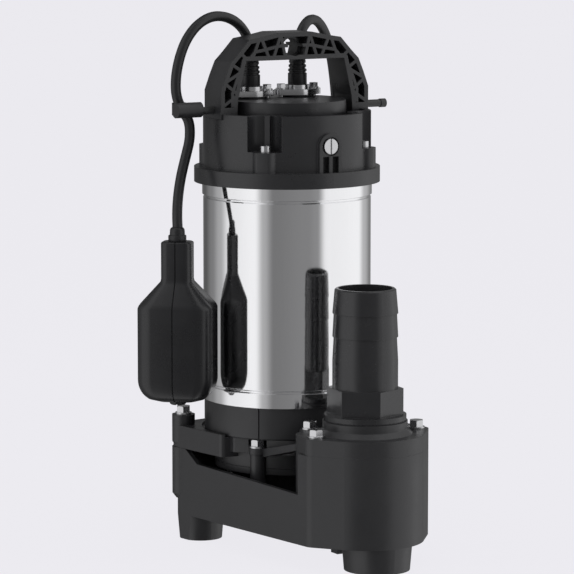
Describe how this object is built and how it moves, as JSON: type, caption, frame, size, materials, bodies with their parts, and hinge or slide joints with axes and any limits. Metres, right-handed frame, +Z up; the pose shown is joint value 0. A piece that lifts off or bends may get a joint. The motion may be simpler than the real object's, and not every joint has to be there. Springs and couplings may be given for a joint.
{
  "type": "submersible sump pump",
  "caption": "Upright submersible sump pump with a stainless motor can, carry handle, float switch on a cable, and an upright hose nipple beside the motor on a long suction base.",
  "frame": {"origin": "on the floor, at the middle of the overall length and on the middle plane of the pump", "axes": "+Z up, +X from the motor axis towards the hose nipple, +Y to the side of the power cable's gland"},
  "size_m": [0.3836, 0.3013, 0.4242],
  "materials": {
    "casing_plastic": "satin black paint over the casting",
    "head_plastic": "satin black moulded plastic",
    "nipple_plastic": "satin dark grey moulded plastic",
    "strainer_plastic": "matt black moulded plastic",
    "stainless_shell": "polished stainless steel",
    "stainless_hardware": "bright stainless steel",
    "gland_steel": "bright pressed steel",
    "hook_steel": "black coated steel",
    "impeller_plastic": "glass filled plastic",
    "bearing_steel": "ground steel",
    "seal_ceramic": "lapped ceramic",
    "seal_rubber": "nitrile rubber",
    "boot_rubber": "black moulded rubber",
    "bracket_aluminium": "as cast aluminium",
    "lamination_steel": "varnished laminations",
    "winding_copper": "enamelled copper wire",
    "capacitor_plastic": "moulded plastic",
    "clip_plastic": "black moulded plastic",
    "float_plastic": "black moulded plastic",
    "cable_rubber": "black rubber sheath",
    "plug_rubber": "black moulded rubber",
    "plug_brass": "nickel plated brass"
  },
  "bodies": {
    "pump": {"cable_hook_pins": "hook_steel", "carry_handle": "head_plastic", "casing_bolts": "stainless_hardware", "float_cable_boot": "boot_rubber", "float_cable_clip": "clip_plastic", "float_cable_upper": "cable_rubber", "float_gland_plate": "gland_steel", "float_gland_seal": "seal_rubber", "gland_screws": "stainless_hardware", "handle_screws": "stainless_hardware", "head_bolts": "stainless_hardware", "head_cover": "head_plastic", "head_gasket": "seal_rubber", "hose_nipple": "nipple_plastic", "lip_seal": "seal_rubber", "lower_bearing": "bearing_steel", "motor_base": "casing_plastic", "motor_gasket": "seal_rubber", "motor_shell": "stainless_shell", "nipple_seal": "seal_rubber", "oil_chamber_plate": "bracket_aluminium", "plug_body": "plug_rubber", "plug_pins": "plug_brass", "power_cable": "cable_rubber", "power_cable_boot": "boot_rubber", "power_cable_coil": "cable_rubber", "power_gland_plate": "gland_steel", "power_gland_seal": "seal_rubber", "pump_base": "casing_plastic", "run_capacitor": "capacitor_plastic", "seal_seat": "seal_ceramic", "stator_core": "lamination_steel", "stator_windings": "winding_copper", "strainer_plate": "strainer_plastic", "strainer_screws": "stainless_hardware", "suction_cover": "casing_plastic", "suction_cover_screws": "stainless_hardware", "terminal_block": "capacitor_plastic", "tower_screws": "stainless_hardware", "upper_bearing": "bearing_steel", "upper_bearing_bracket": "bracket_aluminium", "vent_plug": "stainless_hardware", "volute_casing": "casing_plastic"},
    "rotor": {"shaft": "stainless_hardware", "rotor_core": "lamination_steel", "rotor_end_rings": "bracket_aluminium", "impeller": "impeller_plastic", "impeller_washer": "stainless_hardware", "impeller_nut": "stainless_hardware", "seal_ring": "seal_ceramic", "seal_bellows": "seal_rubber"},
    "float": {"float_cable_lower": "cable_rubber", "float_boot": "boot_rubber", "float_shell_left": "float_plastic", "float_shell_right": "float_plastic", "float_ball_track": "float_plastic", "float_microswitch": "float_plastic"},
    "float_ball": {"float_ball": "bearing_steel"}
  },
  "joints": [
    {"name": "shaft_spin", "type": "hinge", "parent": "pump", "child": "rotor", "pos_m": [-0.04725, 0, 0.15], "axis": [0, 0, 1], "continuous": true},
    {"name": "float_swing", "type": "hinge", "parent": "pump", "child": "float", "pos_m": [-0.05805, -0.0814, 0.325], "axis": [-1, 0, 0], "range_deg": [0, 80]},
    {"name": "ball_slide", "type": "slide", "parent": "float", "child": "float_ball", "axis": [0, 0, 1], "range_m": [0, 0.028]}
  ]
}
